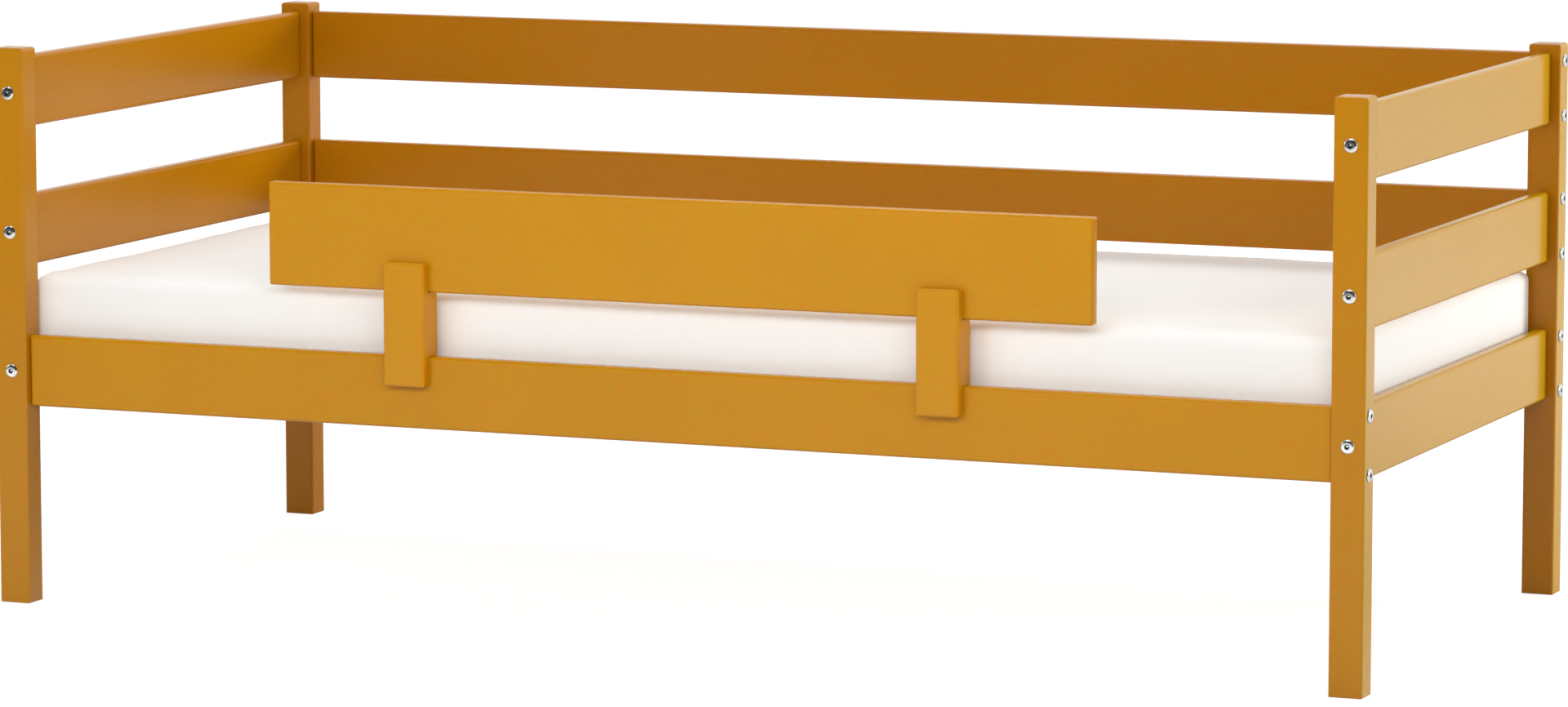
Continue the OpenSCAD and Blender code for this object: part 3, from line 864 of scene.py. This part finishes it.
def make_screws(zinc):
    """The screws that hold the ledges to the rails and the end slats to the ledges."""
    points, faces = wood_screw_shape(SCREW_LENGTH, SCREW_SHANK, SCREW_HEAD)
    for node, way_at in (("ledge_screws", outward_y), ("slat_screws", downward)):
        replace_fasteners(node, points, faces, fastener_frames(node, way_at), zinc)


def make_bolts(zinc):
    """The frame bolts, which all point into the boards: along Y into the end boards, and along X
    into the long ones."""
    for node, way_at in (("end_board_bolts", inward_y), ("long_board_bolts", inward_x)):
        low, high = solid_boxes(node)[0]
        points, faces, painted_shade = frame_bolt_shape((high - low).max())
        frames = fastener_frames(node, way_at)
        piece = replace_fasteners(node, points, faces, frames, zinc)
        # Painted shade: the socket and the foot of each head are painted dark.
        values = piece.data.attributes.new("PaintedShade", "FLOAT", "POINT").data
        values.foreach_set("value", np.tile(painted_shade, len(frames)))


def make_staples(zinc):
    """Two staples hold each ribbon to each slat. Their crowns lie across the tape, pressed into it,
    and their legs go down into the wood."""
    turn = np.linspace(0.0, math.pi / 2, 4)
    left = np.stack([-STAPLE_HALF + STAPLE_BEND * (1.0 - np.cos(turn)), 0 * turn,
                     -STAPLE_BEND * (1.0 - np.sin(turn))], -1)
    right = left[::-1] * (-1.0, 1.0, 1.0)
    left_leg, right_leg = [[-STAPLE_HALF, 0.0, -STAPLE_LEG]], [[STAPLE_HALF, 0.0, -STAPLE_LEG]]
    path = np.concatenate([left_leg, left, right, right_leg])
    points, faces = tube(path, STAPLE_WIRE, 8)
    frames = []
    slats = sorted(node for node in NODES if node.startswith("slat_") and node != "slat_screws")
    for ribbon in ("ribbon_front", "ribbon_rear"):
        low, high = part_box(ribbon)
        for number, slat in enumerate(slats):
            middle = (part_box(slat)[0][0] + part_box(slat)[1][0]) / 2
            astray = STAPLE_ASTRAY * math.sin(5.1 * number)
            for side in (-1, 1):
                slant = STAPLE_SLANT * math.sin(2.3 * number + side)
                place = (middle + side * STAPLE_SPREAD, (low[1] + high[1]) / 2 + astray,
                         high[2] - STAPLE_SINK)
                frames.append([place, (math.sin(slant), math.cos(slant), 0.0),
                               (-math.cos(slant), math.sin(slant), 0.0), (0.0, 0.0, 1.0)])
    piece = new_piece("ribbon_staples", *repeated(points, faces, frames), zinc)
    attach(piece, "root")


make_screws(ZINC)
make_bolts(ZINC)
make_staples(ZINC)


# ---------------------------------------------------------------------------------------------
# Floor, light and camera
# ---------------------------------------------------------------------------------------------

SWEEP_CENTRE = (1.2, 0.0, 0.0)
SWEEP_EDGE = (4.4, 5.1)
FLOOR_GLOSS_FRONT = 0.88
FLOOR_GLOSS_REAR = 1.2
FLOOR_GLOSS_LEFT = 0.3
FLOOR_GLOSS_CLOSE_BEHIND = 0.32
DIM_EDGE_SLOPE, DIM_EDGE_START, DIM_EDGE_BLUR = 0.3, 0.6, 0.3
SURROUND_GLOSS = 0.96
DARK_STUDIO = 0.04
FILL = 0.22
FLOOR_HALF = 15.0
FLOOR_NEAR_BED = 0.84
SHADOW_SQUEEZE = (0.6, 1.0, 1.0)
SHADOW_EDGE = (0.8, 2.4)
LAMP_TARGET = (0.0, 0.0, 0.35)
CAMERA_PLACE = (2.992, -7.218, 1.304)
CAMERA_DIP = 0.129
CAMERA_TURN = 0.393
CAMERA_LENS = 153.2


def make_floor():
    """A pale floor that reads as white where nothing shades it. Near the bed its glow is dimmed, a
    painted shade, so that the bed's real shadow shows faintly there. Seen in a gloss it is a lit
    sweep round the bed, in a dark studio. The sweep is brighter far behind the bed and dim behind
    its left end."""
    half = FLOOR_HALF
    data = bpy.data.meshes.new("floor")
    data.from_pydata([(-half, -half, 0), (half, -half, 0), (half, half, 0), (-half, half, 0)],
                     [], [(0, 1, 2, 3)])
    floor = bpy.data.objects.new("floor", data)
    SCENE.collection.objects.link(floor)
    material = bpy.data.materials.new("pale floor")
    material.use_nodes = True
    tree = material.node_tree
    tree.nodes.clear()
    path = add(tree, "LightPath").outputs
    seen = maths(tree, "MAXIMUM", path["Is Camera Ray"], path["Is Transmission Ray"])
    place = object_place(tree)
    parts = split_vector(tree, place)
    squeezed = vector_maths(tree, "MULTIPLY", place, SHADOW_SQUEEZE)
    from_bed = add(tree, "VectorMath", {0: squeezed}, operation="LENGTH").outputs["Value"]
    from_sweep = add(tree, "VectorMath", {0: place, 1: SWEEP_CENTRE},
                     operation="DISTANCE").outputs["Value"]

    dim_edge = maths(tree, "MULTIPLY_ADD", parts["Y"], DIM_EDGE_SLOPE, DIM_EDGE_START)
    past_edge = maths(tree, "SUBTRACT", parts["X"], dim_edge)
    rear = remap(tree, past_edge, -DIM_EDGE_BLUR, DIM_EDGE_BLUR,
                 FLOOR_GLOSS_LEFT, FLOOR_GLOSS_REAR)
    further = maths(tree, "MULTIPLY", remap(tree, parts["Y"], -0.5, 0.8),
                    remap(tree, parts["Y"], 0.6, 4.4, FLOOR_GLOSS_CLOSE_BEHIND, 1.0))
    behind = maths(tree, "MAXIMUM", remap(tree, parts["Y"], -1.0, 1.0, FLOOR_GLOSS_FRONT, 0.0),
                   maths(tree, "MULTIPLY", rear, further))
    in_sweep = maths(tree, "MAXIMUM", remap(tree, parts["Y"], 0.0, 1.0),
                     remap(tree, from_sweep, *SWEEP_EDGE, 1.0, 0.0))
    mirrored = maths(tree, "MULTIPLY", path["Is Glossy Ray"],
                     maths(tree, "MULTIPLY", behind, in_sweep))
    # Painted shade: the glow is dimmed in a patch round the bed, where the real shadow then shows.
    away = remap(tree, from_bed, *SHADOW_EDGE)
    white = maths(tree, "MULTIPLY", seen, remap(tree, away, 0.0, 1.0, FLOOR_NEAR_BED, 1.0))
    strength = maths(tree, "MAXIMUM", white, mirrored)
    plain = add(tree, "BsdfDiffuse", {"Color": (0.65, 0.65, 0.65, 1.0)})
    shaded = add(tree, "BsdfDiffuse", {"Color": (0.3, 0.3, 0.3, 1.0)})
    glow = add(tree, "Emission", {"Color": (1.0, 1.0, 1.0, 1.0), "Strength": strength})
    both = add(tree, "AddShader", {0: shaded.outputs[0], 1: glow.outputs[0]})
    direct = maths(tree, "MAXIMUM", seen, path["Is Glossy Ray"])
    mix = add(tree, "MixShader", {0: direct, 1: plain.outputs[0], 2: both.outputs[0]})
    output = tree.nodes.new("ShaderNodeOutputMaterial")
    tree.links.new(mix.outputs[0], output.inputs["Surface"])
    data.materials.append(material)


def make_world():
    """A white surround where it is seen. A gloss meets white behind the bed and above it and a dark
    studio in front, and as light the surround only fills the shadows."""
    world = bpy.data.worlds.new("studio")
    SCENE.world = world
    world.use_nodes = True
    tree = world.node_tree
    tree.nodes.clear()
    path = add(tree, "LightPath").outputs
    way = split_vector(tree, add(tree, "TexCoord").outputs["Generated"])
    mirrored = remap(tree, way["Y"], -0.5, 0.3, DARK_STUDIO, SURROUND_GLOSS)
    seen = maths(tree, "MAXIMUM", path["Is Camera Ray"], path["Is Transmission Ray"])
    unseen = blend_numbers(tree, path["Is Glossy Ray"], FILL, mirrored)
    strength = blend_numbers(tree, seen, unseen, 1.0)
    sky = add(tree, "Background", {"Color": (1.0, 1.0, 1.0, 1.0), "Strength": strength})
    output = tree.nodes.new("ShaderNodeOutputWorld")
    tree.links.new(sky.outputs[0], output.inputs["Surface"])


def aim(lamp, target):
    """Turns a lamp so that it shines at a point."""
    way = np.array(target) - np.array(lamp.location)
    flat = math.hypot(way[0], way[1])
    heading = math.atan2(way[1], way[0]) - math.pi / 2
    lamp.rotation_euler = (math.atan2(flat, -way[2]), 0.0, heading)


def add_softbox(name, place, size, power, mirrored=False):
    """A soft lamp that shines at the bed. Where mirrored, it shows in a gloss too, and draws the
    bright lines along the rounded edges."""
    light = bpy.data.lights.new(name, "AREA")
    light.shape = "RECTANGLE"
    light.size, light.size_y = size
    light.energy = power
    lamp = bpy.data.objects.new(name, light)
    SCENE.collection.objects.link(lamp)
    lamp.location = place
    aim(lamp, LAMP_TARGET)
    lamp.visible_glossy = mirrored
    lamp.visible_camera = False


def make_lights():
    """Low softboxes close to the front, large ones high above, and more at the other sides. Each
    has its place, its two sizes and its power in watts."""
    add_softbox("upper front softbox", (0.6, -2.1, 1.25), (3.2, 0.5), 28.6)
    add_softbox("front left softbox", (-0.9, -2.1, 0.75), (1.4, 0.7), 8.5)
    add_softbox("top softbox", (0.2, -0.6, 6.0), (5.0, 3.4), 68.0, mirrored=True)
    add_softbox("rear top softbox", (0.0, 2.6, 5.4), (4.8, 1.8), 126.0, mirrored=True)
    add_softbox("right softbox", (4.6, -0.3, 1.3), (2.0, 2.0), 19.0, mirrored=True)
    add_softbox("rear right softbox", (3.2, 2.4, 1.0), (1.2, 1.2), 85.0)
    add_softbox("left softbox", (-3.2, -0.6, 1.4), (1.6, 1.6), 15.0, mirrored=True)
    add_softbox("rear softbox", (0.0, 3.4, 1.8), (3.0, 1.6), 32.0)


def make_camera():
    """A long lens to the right of the bed's front, a little above it."""
    data = bpy.data.cameras.new("camera")
    data.sensor_width = 36.0
    data.lens = CAMERA_LENS
    camera = bpy.data.objects.new("camera", data)
    SCENE.collection.objects.link(camera)
    camera.location = CAMERA_PLACE
    camera.rotation_euler = (math.pi / 2 - CAMERA_DIP, 0.0, CAMERA_TURN)
    data.clip_end = 100.0
    SCENE.camera = camera


make_floor()
make_world()
make_lights()
make_camera()
SCENE.view_settings.view_transform = "Standard"
